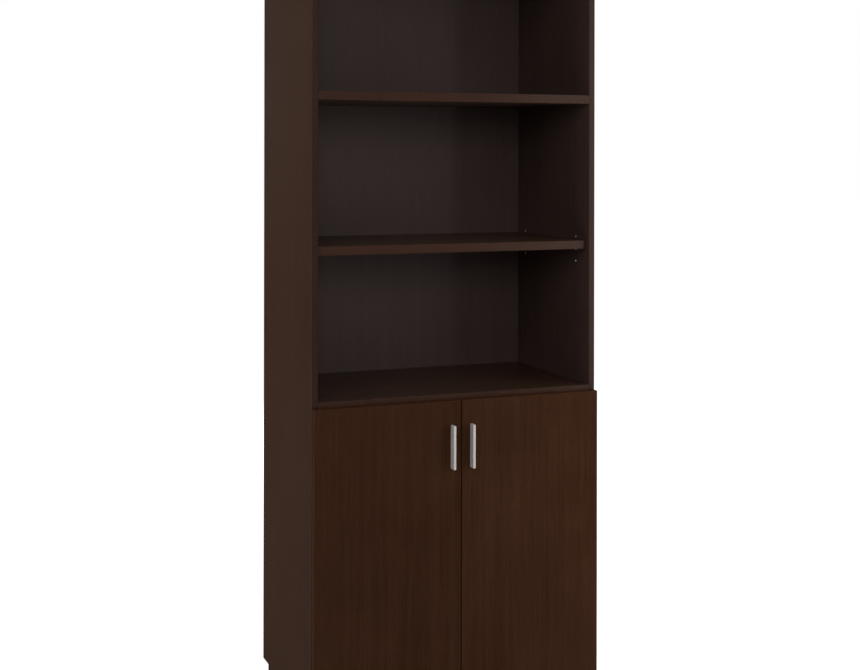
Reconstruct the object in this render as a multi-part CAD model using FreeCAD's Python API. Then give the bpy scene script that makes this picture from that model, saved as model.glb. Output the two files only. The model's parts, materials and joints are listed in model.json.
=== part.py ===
"""Tall bookcase with three open bays over a two-door cupboard, in flat-pack board construction.

Frame: origin on the floor under the middle of the bookcase, +Z up, doors facing -Y, +X to the
right of somebody standing in front of it. Lengths in millimetres.
"""

import FreeCAD, Part
import math
import os

# ---- overall sizes ------------------------------------------------------------------------
width = 762.0
height = 1973.0
carcass_depth = 432.0

# ---- boards -------------------------------------------------------------------------------
side_t = 16.0
shelf_t = 22.0
door_t = 16.0
base_board_t = 16.0
back_t = 3.0
edge_band_t = 1.0
edge_band_ease = 0.6

# ---- heights above the floor --------------------------------------------------------------
glide_height = 4.0
base_height = 102.0
deck_top = 854.0
top_bay_clear = 351.0
upper_pin_rise = 346.0
lower_pin_rise = 340.0

# ---- back and base ------------------------------------------------------------------------
back_inset = 9.0
groove_depth = 6.0
groove_clearance = 0.2
joiner_web = 1.5
joiner_lip = 12.0
baseboard_notch_depth = 51.0
kick_recess = 20.0

# ---- adjustable shelves -------------------------------------------------------------------
shelf_side_gap = 1.0
shelf_front_recess = 15.0
shelf_rear_gap = 4.0
pin_front_inset = 72.0
pin_rear_inset = 60.0
pin_pitch = 32.0
pin_radius = 2.5
pin_hole_depth = 9.0
pin_depth = 8.0
pin_fit = 0.1
pin_collar_drop = 3.6
pin_collar_t = 1.0
pin_seat_length = 9.0
pin_seat_width = 7.0
pin_seat_t = 2.0
pin_seat_rise = 2.7
shelf_rest_gap = 0.3

# ---- doors --------------------------------------------------------------------------------
door_gap = 2.2
door_side_reveal = 1.0
door_centre_gap = 3.0
door_top_reveal = 14.0
door_bottom_lift = 6.0

# ---- hinges: one pivot in each cup --------------------------------------------------------
hinge_end_inset = 100.0
pivot_edge_inset = 6.4
pivot_depth = 8.6
hinge_pin_radius = 1.25
hinge_running_gap = 0.05
hinge_pin_half = 5.2
knuckle_radius = 2.0
knuckle_half = 3.0
ear_gap = 0.4
ear_t = 1.5
ear_radius = 2.4
cup_radius = 17.5
cup_depth = 12.5
cup_wall = 1.0
cup_edge_inset = 2.8
arm_slot_depth = 2.0
arm_slot_drop = 3.0
cup_fit = 0.05
flange_t = 0.8
flange_overhang = 1.0
flange_corner = 5.0
wing_half_height = 29.0
wing_half_width = 7.0
cup_screw_offset = 9.5
cup_screw_half_pitch = 22.5
arm_t = 2.0
arm_wall_gap = 1.0
arm_rise = 6.0
arm_half = 6.0
arm_bend_radius = 2.4
arm_cheek_t = 1.0
arm_length = 50.0
arm_jog_start = 4.0
arm_jog_end = 12.0
arm_wide_from = -2.0
arm_flange_gap = 0.3
plate_t = 2.0
plate_centre = 37.0
plate_half_length = 11.0
plate_half_height = 24.0
plate_corner = 4.0
plate_block_half = 4.6
plate_screw_half_pitch = 16.0

# ---- pulls --------------------------------------------------------------------------------
pull_length = 107.0
pull_width = 6.5
pull_foot_width = 5.7
pull_projection = 21.0
pull_foot_depth = 3.0
pull_neck_slope = 0.4
pull_edge_round = 1.0
pull_from_centre = 26.0
pull_below_door_top = 59.0
pull_screw_pitch = 96.0
pull_screw_grip = 12.0

# ---- fasteners and small parts ------------------------------------------------------------
peg_sides = 6
head_sides = 8
disc_sides = 16
screw_radius = 1.75
screw_head_radius = 3.5
screw_head_t = 1.2
screw_length = 12.0
machine_screw_radius = 2.0
machine_screw_head_radius = 4.0
machine_screw_head_t = 2.4
hole_clearance = 0.1
screw_end_gap = 1.0
joint_front_inset = 60.0
joint_rear_inset = 92.0
dowel_radius = 4.0
dowel_side_depth = 10.0
dowel_board_depth = 20.0
bolt_radius = 3.5
bolt_side_depth = 10.0
cam_radius = 7.5
cam_t = 12.5
cam_centre = 34.0
base_dowel_inset = 24.0
glide_radius = 7.0
glide_nail_radius = 1.2
glide_nail_length = 14.0
glide_inset = 30.0
bumper_radius = 3.6
bumper_inset = 4.0
bumper_edge_gap = 0.2
bumper_contact_gap = 0.3
catch_half_width = 23.0
catch_depth = 15.0
catch_height = 13.0
catch_contact_gap = 0.3
catch_corner = 3.0
catch_pole_half_width = 5.0
catch_pole_half_height = 4.0
catch_screw_setback = 2.0
catch_screw_half_pitch = 17.0
strike_radius = 6.0
strike_t = 1.5
strike_pin_radius = 2.0
strike_pin_length = 9.0
strike_from_centre = 12.0

# ---- places worked out from the sizes -----------------------------------------------------
half_width = width / 2
inner_x = half_width - side_t
total_depth = carcass_depth + door_gap + door_t + pull_projection
carcass_back = total_depth / 2
carcass_front = carcass_back - carcass_depth
door_back = carcass_front - door_gap
door_front = door_back - door_t
board_front = carcass_front + edge_band_t
back_rear = carcass_back - back_inset
back_front = back_rear - back_t
board_back = back_front - groove_clearance
deck_bottom = deck_top - shelf_t
bottom_top = base_height + shelf_t
top_bottom = height - shelf_t
fixed_top = top_bottom - top_bay_clear
fixed_bottom = fixed_top - shelf_t
upper_pin_z = deck_top + upper_pin_rise
lower_pin_z = bottom_top + lower_pin_rise
notch_front = carcass_back - baseboard_notch_depth
pin_columns = (carcass_front + pin_front_inset, carcass_back - pin_rear_inset)
door_outer_x = half_width - door_side_reveal
door_inner_x = door_centre_gap / 2
door_top = deck_top - door_top_reveal
door_bottom = base_height + door_bottom_lift
hinge_heights = (door_bottom + hinge_end_inset, door_top - hinge_end_inset)
pivot_x = -door_outer_x + pivot_edge_inset
pivot_y = door_back - pivot_depth
cup_x = -door_outer_x + cup_edge_inset + cup_radius
pull_top = door_top - pull_below_door_top
pull_screw_heights = [pull_top - pull_length / 2 + side * pull_screw_pitch / 2 for side in (-1, 1)]
kick_front = carcass_front + kick_recess
rail_back = notch_front
joint_rows = (carcass_front + joint_front_inset, carcass_back - joint_rear_inset)
dowel_row = (joint_rows[0] + joint_rows[1]) / 2
strike_z = deck_bottom - catch_height / 2


# ---- helpers ------------------------------------------------------------------------------
def vec(x, y, z):
    return FreeCAD.Vector(x, y, z)


def block(x, y, z):
    """A box from three (low, high) pairs."""
    return Part.makeBox(x[1] - x[0], y[1] - y[0], z[1] - z[0], vec(x[0], y[0], z[0]))


def rod(radius, start, end):
    """A cylinder from one point to another."""
    axis = end.sub(start)
    return Part.makeCylinder(radius, axis.Length, start, axis)


def peg(radius, start, end, sides=peg_sides):
    """A many-sided rod, for fasteners and for the pilot holes that they go into."""
    axis = end.sub(start)
    across = vec(0, 0, 1).cross(axis) if abs(axis.z) < 0.5 * axis.Length else vec(1, 0, 0)
    spoke = across.normalize() * radius
    turn = FreeCAD.Rotation(axis, 360.0 / sides)
    corners = [start + spoke]
    for _ in range(sides - 1):
        spoke = turn.multVec(spoke)
        corners.append(start + spoke)
    return Part.Face(Part.makePolygon(corners + corners[:1])).extrude(axis)


def fused(shapes):
    return shapes[0].multiFuse(shapes[1:]).removeSplitter()


def mirrored(shape):
    """The same piece on the other side of the bookcase."""
    return shape.mirror(vec(0, 0, 0), vec(1, 0, 0))


def both_sides(shapes):
    return shapes + [mirrored(shape) for shape in shapes]


def prism(points, z):
    """A flat outline of (x, y) points, raised from z[0] to z[1]."""
    corners = [vec(x, y, z[0]) for x, y in points]
    return Part.Face(Part.makePolygon(corners + corners[:1])).extrude(vec(0, 0, z[1] - z[0]))


def upright_edges(shape, places):
    """The edges parallel to Z that stand at the given (x, y) places."""
    found = []
    for edge in shape.Edges:
        low, high = edge.Vertexes[0].Point, edge.Vertexes[-1].Point
        upright = math.hypot(low.x - high.x, low.y - high.y) < 1e-6 and abs(low.z - high.z) > 1e-6
        if upright and any(math.hypot(low.x - x, low.y - y) < 1e-4 for x, y in places):
            found.append(edge)
    return found


def long_edges(shape, axis, where):
    """The straight edges along an axis (0, 1 or 2) whose middle point passes the test."""
    found = []
    for edge in shape.Edges:
        low, high = edge.Vertexes[0].Point, edge.Vertexes[-1].Point
        run = [abs(high[i] - low[i]) for i in range(3)]
        if run[axis] > 1e-6 and sum(run) - run[axis] < 1e-6 and where(low.add(high).multiply(0.5)):
            found.append(edge)
    return found


def screw(head_at, direction, radius, length, head_radius, head_t):
    """A screw whose head stands on the surface at head_at; direction points inwards."""
    shank = peg(radius, head_at, head_at + direction * length)
    return fused([shank, peg(head_radius, head_at - direction * head_t, head_at, head_sides)])


# ---- carcass joints -----------------------------------------------------------------------
def fixed_boards():
    """Each fixed board's name, its lowest and highest level, and the side its cam locks open to."""
    return {
        "top_panel": (top_bottom, height, -1),
        "fixed_shelf": (fixed_bottom, fixed_top, 1),
        "deck_panel": (deck_bottom, deck_top, -1),
        "bottom_panel": (base_height, bottom_top, -1),
    }


def board_levels():
    return [(low + high) / 2 for low, high, _ in fixed_boards().values()]


def base_dowel_places():
    """Where the kick plate and the rear rail are dowelled to the sides, as (y, z)."""
    heights = (glide_height + base_dowel_inset, base_height - base_dowel_inset)
    middles = (kick_front + base_board_t / 2, rail_back - base_board_t / 2)
    return [(y, z) for y in middles for z in heights]


def dowel_places():
    return [(dowel_row, z) for z in board_levels()] + base_dowel_places()


def left_dowel(y, z, clearance=0.0):
    start = vec(-inner_x - dowel_side_depth - clearance, y, z)
    return peg(dowel_radius + clearance, start, vec(-inner_x + dowel_board_depth + clearance, y, z))


def left_cam_bolt(y, z, clearance=0.0):
    """Screwed into the side panel, and into the board's end as far as the cam that pulls on it."""
    start = vec(-inner_x - bolt_side_depth - clearance, y, z)
    return peg(bolt_radius + clearance, start, vec(-inner_x + cam_centre - cam_radius, y, z))


def left_cam(y, low, high, opens, clearance=0.0):
    """The cam lock's drum, flush with the face that it opens to (opens is 1 for up, -1 for down)."""
    face = high if opens > 0 else low
    x = -inner_x + cam_centre
    bottom = vec(x, y, face - opens * (cam_t + clearance))
    return peg(cam_radius + clearance, bottom, vec(x, y, face), head_sides)


def fixed_board(name):
    low, high, opens = fixed_boards()[name]
    board = block((-inner_x, inner_x), (board_front, board_back), (low, high))
    cuts = []
    for y in joint_rows:
        cuts.append(left_cam_bolt(y, (low + high) / 2, hole_clearance))
        cuts.append(left_cam(y, low, high, opens, hole_clearance))
    cuts.append(left_dowel(dowel_row, (low + high) / 2, hole_clearance))
    return board.cut(both_sides(cuts))


def top_panel():
    """The top board reaches over the back panel, which stands in a groove in its underside."""
    low, high, _ = fixed_boards()["top_panel"]
    reach = block((-inner_x, inner_x), (board_back, carcass_back), (low, high))
    groove = block(
        (-inner_x, inner_x),
        (back_front - groove_clearance, back_rear + groove_clearance),
        (low, low + groove_depth),
    )
    return fused([fixed_board("top_panel"), reach]).cut(groove)


# ---- side panels --------------------------------------------------------------------------
def left_side_panel():
    z = (glide_height, height)
    panel = block((-half_width, -inner_x), (board_front, carcass_back), z)
    notch = block((-half_width, -inner_x), (notch_front, carcass_back), (glide_height, base_height))
    groove = block(
        (-inner_x - groove_depth, -inner_x),
        (back_front - groove_clearance, back_rear + groove_clearance),
        (base_height, top_bottom + groove_depth),
    )
    cuts = [notch, groove]
    cuts += [left_dowel(y, z, hole_clearance) for y, z in dowel_places()]
    cuts += [left_cam_bolt(y, z, hole_clearance) for z in board_levels() for y in joint_rows]
    for y in pin_columns:
        cuts += [left_pin_hole(y, z, rod) for z in pin_rows(upper_pin_z)]
        cuts += [left_pin_hole(y, z, peg) for z in pin_rows(lower_pin_z)]
    for z, y in plate_screw_places():
        mouth = vec(-inner_x, y, z)
        cuts.append(peg(screw_radius + hole_clearance, mouth, mouth - vec(screw_length, 0, 0)))
    cuts += [glide_nail(y, hole_clearance) for y in glide_rows()]
    return panel.cut(cuts)


def pin_rows(middle):
    return [middle + step * pin_pitch for step in (-1, 0, 1)]


def left_pin_hole(y, z, shape):
    return shape(pin_radius, vec(-inner_x, y, z), vec(-inner_x - pin_hole_depth, y, z))


def left_side_band():
    return front_band((-half_width, -inner_x), (carcass_front, board_front), (glide_height, height))


def front_band(x, y, z):
    """An edge band on a front edge, with its long front corners eased."""
    band = block(x, y, z)
    along = 0 if x[1] - x[0] > z[1] - z[0] else 2
    return eased(band, along, lambda middle: abs(middle.y - y[0]) < 1e-6)


def eased(band, axis, where):
    """The band with the scraped chamfer that takes the sharpness off its long corners."""
    return band.makeChamfer(edge_band_ease, long_edges(band, axis, where))


def shelf_band(half_length, front, low, high):
    return front_band((-half_length, half_length), (front, front + edge_band_t), (low, high))


def panel_edge_bands():
    return [shelf_band(inner_x, carcass_front, low, high) for low, high, _ in fixed_boards().values()]


# ---- back and base ------------------------------------------------------------------------
def back_sheet(low, high):
    half = inner_x + groove_depth - groove_clearance
    return block((-half, half), (back_front, back_rear), (low, high))


def back_seam():
    """The level of the joint between the two back sheets, behind the middle of the deck."""
    return (deck_bottom + deck_top) / 2


def back_panel_upper():
    return back_sheet(back_seam() + joiner_web / 2, top_bottom + groove_depth - groove_clearance)


def back_panel_lower():
    return back_sheet(base_height, back_seam() - joiner_web / 2)


def back_joiner():
    """An H-section strip that holds the two back sheets edge to edge."""
    x = (-inner_x + groove_clearance, inner_x - groove_clearance)
    seam = back_seam()
    web = block(x, (back_front, back_rear), (seam - joiner_web / 2, seam + joiner_web / 2))
    rear_lip = block(x, (back_rear, back_rear + joiner_web), (seam - joiner_lip, seam + joiner_lip))
    return fused([web, rear_lip])


def base_board(front, back):
    board = block((-inner_x, inner_x), (front, back), (glide_height, base_height))
    middle = (front + back) / 2
    cuts = [left_dowel(y, z, hole_clearance) for y, z in base_dowel_places() if abs(y - middle) < 1e-6]
    return board.cut(both_sides(cuts))


def glide_rows():
    return (carcass_front + glide_inset, notch_front - glide_inset)


def glide_nail(y, clearance=0.0):
    x = -half_width + side_t / 2
    top = glide_height + glide_nail_length + clearance
    return peg(glide_nail_radius + clearance, vec(x, y, glide_height), vec(x, y, top))


def left_glide(y):
    x = -half_width + side_t / 2
    foot = peg(glide_radius, vec(x, y, 0), vec(x, y, glide_height), head_sides)
    return fused([foot, glide_nail(y)])


# ---- adjustable shelves -------------------------------------------------------------------
def adjustable_shelf_box(pin_z):
    half = inner_x - shelf_side_gap
    front = carcass_front + shelf_front_recess
    low = pin_z + pin_seat_rise + shelf_rest_gap
    return half, front, board_back - shelf_rear_gap, low, low + shelf_t


def adjustable_shelf(pin_z):
    half, front, back, low, high = adjustable_shelf_box(pin_z)
    return block((-half, half), (front + edge_band_t, back), (low, high))


def adjustable_shelf_band(pin_z):
    half, front, _, low, high = adjustable_shelf_box(pin_z)
    return shelf_band(half, front, low, high)


def left_shelf_pin(y, z):
    """A pin with a collar and a flat seat for the shelf."""
    collar_end = -inner_x + pin_collar_t
    stem = peg(pin_radius - pin_fit, vec(-inner_x - pin_depth, y, z), vec(-inner_x, y, z))
    collar = block(
        (-inner_x, collar_end),
        (y - pin_seat_width / 2, y + pin_seat_width / 2),
        (z - pin_collar_drop, z + pin_seat_rise),
    )
    seat = block(
        (collar_end, collar_end + pin_seat_length),
        (y - pin_seat_width / 2, y + pin_seat_width / 2),
        (z + pin_seat_rise - pin_seat_t, z + pin_seat_rise),
    )
    return fused([stem, collar, seat])


def shelf_pins(pin_z):
    return both_sides([left_shelf_pin(y, pin_z) for y in pin_columns])


# ---- doors --------------------------------------------------------------------------------
def left_door_board():
    x = (-door_outer_x + edge_band_t, -door_inner_x - edge_band_t)
    board = block(x, (door_front, door_back), (door_bottom + edge_band_t, door_top - edge_band_t))
    cuts = []
    for z in hinge_heights:
        floor = vec(cup_x, door_back - cup_depth - hole_clearance, z)
        cuts.append(rod(cup_radius + cup_fit, floor, vec(cup_x, door_back, z)))
        cuts += [cup_screw_hole(screw_z) for screw_z in cup_screw_heights(z)]
    for z in pull_screw_heights:
        bore = machine_screw_radius + hole_clearance
        cuts.append(peg(bore, vec(-pull_from_centre, door_front, z), vec(-pull_from_centre, door_back, z)))
    start = vec(-strike_from_centre, door_back, strike_z)
    cuts.append(peg(strike_pin_radius + hole_clearance, start, start - vec(0, strike_pin_length, 0)))
    return board.cut(cuts)


def left_door_bands():
    """Four bands round the door board; the long corners of each are eased."""
    sides, ends = (-door_outer_x, -door_inner_x), (door_bottom, door_top)
    bands = []
    for x in (sides[0], sides[1] - edge_band_t):
        band = block((x, x + edge_band_t), (door_front, door_back), ends)
        outer = -door_outer_x if x == sides[0] else -door_inner_x
        bands.append(eased(band, 2, lambda middle: abs(middle.x - outer) < 1e-6))
    for z in (ends[0], ends[1] - edge_band_t):
        x = (sides[0] + edge_band_t, sides[1] - edge_band_t)
        band = block(x, (door_front, door_back), (z, z + edge_band_t))
        outer = door_bottom if z == ends[0] else door_top
        bands.append(eased(band, 0, lambda middle: abs(middle.z - outer) < 1e-6))
    return bands


def left_pull():
    """A blade pull, a little narrower at its foot so that a fine shadow line sets it off the door."""
    tip = door_front - pull_projection
    neck = door_front - pull_foot_depth
    half, foot = pull_width / 2, pull_foot_width / 2
    outline = [
        (-foot, door_front), (-foot, neck + pull_neck_slope), (-half, neck), (-half, tip),
        (half, tip), (half, neck), (foot, neck + pull_neck_slope), (foot, door_front),
    ]
    outline = [(x - pull_from_centre, y) for x, y in outline]
    body = prism(outline, (pull_top - pull_length, pull_top))
    fronts = [(-pull_from_centre - half, tip), (-pull_from_centre + half, tip)]
    body = body.makeFillet(pull_edge_round, upright_edges(body, fronts))
    bores = [
        peg(
            machine_screw_radius + hole_clearance,
            vec(-pull_from_centre, door_front, z),
            vec(-pull_from_centre, door_front - pull_screw_grip, z),
        )
        for z in pull_screw_heights
    ]
    return body.cut(bores)


def left_pull_screws():
    length = door_t + pull_screw_grip - screw_end_gap
    return [
        screw(
            vec(-pull_from_centre, door_back, z), vec(0, -1, 0),
            machine_screw_radius, length, machine_screw_head_radius, machine_screw_head_t,
        )
        for z in pull_screw_heights
    ]


def left_bumpers():
    """Soft discs on the back of the door that meet the front edges of the deck and the bottom board."""
    x = -door_inner_x - edge_band_t - bumper_radius - bumper_inset
    t = door_gap - bumper_contact_gap
    heights = (deck_bottom + bumper_radius + bumper_edge_gap, bottom_top - bumper_radius - bumper_inset)
    return [peg(bumper_radius, vec(x, door_back, z), vec(x, door_back + t, z), head_sides) for z in heights]


def left_strike():
    """The steel disc that the magnet holds, on a pin pushed into the door."""
    centre = vec(-strike_from_centre, door_back, strike_z)
    disc = peg(strike_radius, centre, centre + vec(0, strike_t, 0), disc_sides)
    pin = peg(strike_pin_radius, centre, centre - vec(0, strike_pin_length - screw_end_gap, 0))
    return fused([disc, pin])


def door_catch():
    """A double magnetic catch under the deck; its two pole faces look at the strikes."""
    face = door_back + strike_t + catch_contact_gap
    x = (-catch_half_width, catch_half_width)
    body = block(x, (board_front, board_front + catch_depth), (deck_bottom - catch_height, deck_bottom))
    sides = long_edges(body, 2, lambda middle: middle.y > board_front + catch_corner)
    body = body.makeFillet(catch_corner, sides)
    poles = [
        block(
            (x - catch_pole_half_width, x + catch_pole_half_width),
            (face, board_front + catch_corner),
            (strike_z - catch_pole_half_height, strike_z + catch_pole_half_height),
        )
        for x in (-strike_from_centre, strike_from_centre)
    ]
    holes = [
        peg(screw_radius + hole_clearance, vec(x, y, deck_bottom - catch_height), vec(x, y, deck_bottom))
        for x, y in catch_screw_places()
    ]
    return fused([body] + poles).cut(holes)


def catch_screw_places():
    y = board_front + catch_depth / 2 + catch_screw_setback
    return [(side * catch_screw_half_pitch, y) for side in (-1, 1)]


def catch_screws():
    return [
        screw(
            vec(x, y, deck_bottom - catch_height), vec(0, 0, 1),
            screw_radius, catch_height + screw_length, screw_head_radius, screw_head_t,
        )
        for x, y in catch_screw_places()
    ]


def deck_panel():
    pilot_end = deck_bottom + screw_length + hole_clearance
    pilots = [
        peg(screw_radius + hole_clearance, vec(x, y, deck_bottom), vec(x, y, pilot_end))
        for x, y in catch_screw_places()
    ]
    return fixed_board("deck_panel").cut(pilots)


# ---- hinges -------------------------------------------------------------------------------
def cup_screw_heights(z):
    return (z - cup_screw_half_pitch, z + cup_screw_half_pitch)


def cup_screw_hole(z):
    start = vec(cup_x + cup_screw_offset, door_back, z)
    return peg(screw_radius + hole_clearance, start, start - vec(0, screw_length, 0))


def ear_outline():
    """An ear in the (x, y) plane, from the cup's floor up to over the pivot pin."""
    floor, crown = door_back - cup_depth, pivot_y + ear_radius
    return [
        (pivot_x - ear_radius, floor), (pivot_x - ear_radius, pivot_y), (pivot_x - ear_radius / 2, crown),
        (pivot_x + ear_radius / 2, crown), (pivot_x + ear_radius, pivot_y), (pivot_x + ear_radius, floor),
    ]


def left_hinge_cup(z):
    """A drawn cup let into the door, with a screw flange and two ears that hold the pivot pin."""
    floor = door_back - cup_depth
    mouth = door_back + flange_t
    shell = rod(cup_radius, vec(cup_x, floor, z), vec(cup_x, door_back, z))
    ring = rod(cup_radius + flange_overhang, vec(cup_x, door_back, z), vec(cup_x, mouth, z))
    wing_x = cup_x + cup_screw_offset
    wings = block(
        (wing_x - wing_half_width, wing_x + wing_half_width),
        (door_back, mouth),
        (z - wing_half_height, z + wing_half_height),
    )
    wings = wings.makeFillet(flange_corner, long_edges(wings, 1, lambda middle: True))
    hollow = rod(cup_radius - cup_wall, vec(cup_x, floor + cup_wall, z), vec(cup_x, mouth, z))
    cup = fused([shell, ring, wings]).cut(hollow)
    ears = []
    for side in (-1, 1):
        near = z + side * (knuckle_half + ear_gap)
        far = near + side * ear_t
        ears.append(prism(ear_outline(), (min(near, far), max(near, far))))
    inside = rod(cup_radius - cup_wall / 2, vec(cup_x, floor + cup_wall / 2, z), vec(cup_x, mouth, z))
    cup = fused([cup] + [ear.common(inside) for ear in ears])
    arm_slot = block(
        (cup_x - cup_radius - 2 * flange_overhang, cup_x - cup_radius + arm_slot_depth),
        (door_back - arm_slot_drop, mouth + flange_t),
        (z - knuckle_half - ear_gap, z + knuckle_half + ear_gap),
    )
    pin_seat = peg(
        (hinge_pin_radius + hinge_running_gap) / math.cos(math.pi / head_sides),
        vec(pivot_x, pivot_y, z - hinge_pin_half), vec(pivot_x, pivot_y, z + hinge_pin_half), head_sides,
    )
    holes = [
        peg(screw_radius + hole_clearance, vec(wing_x, door_back, y), vec(wing_x, mouth, y))
        for y in cup_screw_heights(z)
    ]
    return cup.cut([arm_slot, pin_seat] + holes)


def left_hinge_pin(z):
    low, high = vec(pivot_x, pivot_y, z - hinge_pin_half), vec(pivot_x, pivot_y, z + hinge_pin_half)
    return rod(hinge_pin_radius, low, high)


def arm_line():
    """The middle line of the arm's strip: out of the cup, round the panel's edge and back along it."""
    near = -inner_x + arm_wall_gap + arm_t / 2
    far = near + arm_rise
    start = carcass_front
    return [
        (pivot_x, pivot_y), (near, pivot_y), (near, start + arm_jog_start),
        (far, start + arm_jog_end), (far, start + arm_length),
    ]


def strip_sides(points, half):
    """The two sides of a strip of even width about a line of points, mitred at its bends."""
    sides = []
    for sign in (1, -1):
        side = []
        for i, (x, y) in enumerate(points):
            normals = []
            for a, b in ((i - 1, i), (i, i + 1)):
                if a < 0 or b >= len(points):
                    continue
                run = (points[b][0] - points[a][0], points[b][1] - points[a][1])
                length = math.hypot(*run)
                normals.append((-run[1] / length, run[0] / length))
            nx = sum(n[0] for n in normals) / len(normals)
            ny = sum(n[1] for n in normals) / len(normals)
            scale = sign * half / (nx * nx + ny * ny)
            side.append((x + nx * scale, y + ny * scale))
        sides.append(side)
    return sides


def left_hinge_arm(z):
    """A bent steel arm: a knuckle on the pivot pin, a neck and a channel that clamps to its plate."""
    left, right = strip_sides(arm_line(), arm_t / 2)
    strip = prism(left + right[::-1], (z - arm_half, z + arm_half))
    strip = strip.makeFillet(arm_bend_radius, upright_edges(strip, right[1:2]))
    web_x = arm_line()[-1][0]
    neck = ((-half_width, web_x), (door_front, carcass_front + arm_wide_from))
    strip = strip.cut([
        block(*neck, (z + knuckle_half, z + arm_half)), block(*neck, (z - arm_half, z - knuckle_half)),
    ])
    knuckle_ends = vec(pivot_x, pivot_y, z - knuckle_half), vec(pivot_x, pivot_y, z + knuckle_half)
    knuckle = rod(knuckle_radius, *knuckle_ends)
    bore = rod(hinge_pin_radius + hinge_running_gap, *knuckle_ends)
    cheeks = [
        block(
            (-inner_x + plate_t + arm_flange_gap, web_x),
            (carcass_front + arm_jog_end, carcass_front + arm_length),
            (low, low + arm_cheek_t),
        )
        for low in (z - arm_half, z + arm_half - arm_cheek_t)
    ]
    arm = fused([strip, knuckle] + cheeks)
    clamp = peg(
        machine_screw_radius + hole_clearance,
        vec(web_x - arm_t, carcass_front + plate_centre, z),
        vec(web_x + arm_t, carcass_front + plate_centre, z),
    )
    return arm.cut([bore, clamp])


def plate_screw_places():
    y = carcass_front + plate_centre
    return [(z + side * plate_screw_half_pitch, y) for z in hinge_heights for side in (-1, 1)]


def left_hinge_plate(z):
    """The wing plate on the side panel, with the block that the arm is clamped down on."""
    y = (carcass_front + plate_centre - plate_half_length, carcass_front + plate_centre + plate_half_length)
    wings = block((-inner_x, -inner_x + plate_t), y, (z - plate_half_height, z + plate_half_height))
    wings = wings.makeChamfer(plate_corner, long_edges(wings, 0, lambda middle: True))
    web_under = arm_line()[-1][0] - arm_t / 2
    body = block((-inner_x + plate_t, web_under), y, (z - plate_block_half, z + plate_block_half))
    holes = [
        peg(screw_radius + hole_clearance, vec(-inner_x, py, pz), vec(-inner_x + plate_t, py, pz))
        for pz, py in plate_screw_places() if abs(pz - z) < plate_half_height
    ]
    clamp = peg(
        machine_screw_radius + hole_clearance,
        vec(-inner_x, carcass_front + plate_centre, z), vec(web_under, carcass_front + plate_centre, z),
    )
    return fused([wings, body]).cut(holes + [clamp])


def left_plate_screws():
    return [
        screw(
            vec(-inner_x + plate_t, y, z), vec(-1, 0, 0),
            screw_radius, plate_t + screw_length - screw_end_gap, screw_head_radius, screw_head_t,
        )
        for z, y in plate_screw_places()
    ]


def left_clamp_screws():
    top = arm_line()[-1][0] + arm_t / 2
    return [
        screw(
            vec(top, carcass_front + plate_centre, z), vec(-1, 0, 0),
            machine_screw_radius, arm_t + arm_rise, machine_screw_head_radius, machine_screw_head_t,
        )
        for z in hinge_heights
    ]


def left_cup_screws():
    return [
        screw(
            vec(cup_x + cup_screw_offset, door_back + flange_t, screw_z), vec(0, -1, 0),
            screw_radius, screw_length - screw_end_gap, screw_head_radius, screw_head_t,
        )
        for z in hinge_heights for screw_z in cup_screw_heights(z)
    ]


# ---- the bookcase -------------------------------------------------------------------------
def carcass_nodes():
    side = left_side_panel()
    band = left_side_band()
    return {
        "side_panel_left": [side],
        "side_panel_right": [mirrored(side)],
        "side_edge_band_left": [band],
        "side_edge_band_right": [mirrored(band)],
        "top_panel": [top_panel()],
        "fixed_shelf": [fixed_board("fixed_shelf")],
        "deck_panel": [deck_panel()],
        "bottom_panel": [fixed_board("bottom_panel")],
        "panel_edge_bands": panel_edge_bands(),
        "back_panel_upper": [back_panel_upper()],
        "back_panel_lower": [back_panel_lower()],
        "back_joiner": [back_joiner()],
        "kick_plate": [base_board(kick_front, kick_front + base_board_t)],
        "rear_rail": [base_board(rail_back - base_board_t, rail_back)],
        "glides": both_sides([left_glide(y) for y in glide_rows()]),
    }


def fastener_nodes():
    cams = [
        left_cam(y, low, high, opens)
        for low, high, opens in fixed_boards().values() for y in joint_rows
    ]
    bolts = [left_cam_bolt(y, z) for z in board_levels() for y in joint_rows]
    return {
        "cam_locks": both_sides(cams),
        "cam_bolts": both_sides(bolts),
        "dowels": both_sides([left_dowel(y, z) for y, z in dowel_places()]),
        "door_catch": [door_catch()],
        "door_catch_screws": catch_screws(),
        "hinge_plate_screws": both_sides(left_plate_screws()),
        "hinge_clamp_screws": both_sides(left_clamp_screws()),
    }


def shelf_nodes():
    nodes = {}
    for name, pin_z in (("upper", upper_pin_z), ("lower", lower_pin_z)):
        nodes["shelf_pins_" + name] = shelf_pins(pin_z)
        nodes["adjustable_shelf_" + name] = [adjustable_shelf(pin_z)]
        nodes["shelf_edge_band_" + name] = [adjustable_shelf_band(pin_z)]
    return nodes


def door_nodes():
    """Every piece of the left door and its hinges, and the same pieces mirrored for the right."""
    left = {
        "door": [left_door_board()],
        "door_edge_bands": left_door_bands(),
        "door_pull": [left_pull()],
        "door_pull_screws": left_pull_screws(),
        "door_bumpers": left_bumpers(),
        "catch_strike": [left_strike()],
        "hinge_cup_screws": left_cup_screws(),
        "hinge_pins": [left_hinge_pin(z) for z in hinge_heights],
    }
    for level, z in zip(("low", "high"), hinge_heights):
        left["hinge_cup_" + level] = [left_hinge_cup(z)]
        left["hinge_arm_" + level] = [left_hinge_arm(z)]
        left["hinge_plate_" + level] = [left_hinge_plate(z)]
    nodes = {}
    for name, pieces in left.items():
        nodes[name + "_left"] = pieces
        nodes[name + "_right"] = [mirrored(piece) for piece in pieces]
    return nodes


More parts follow.
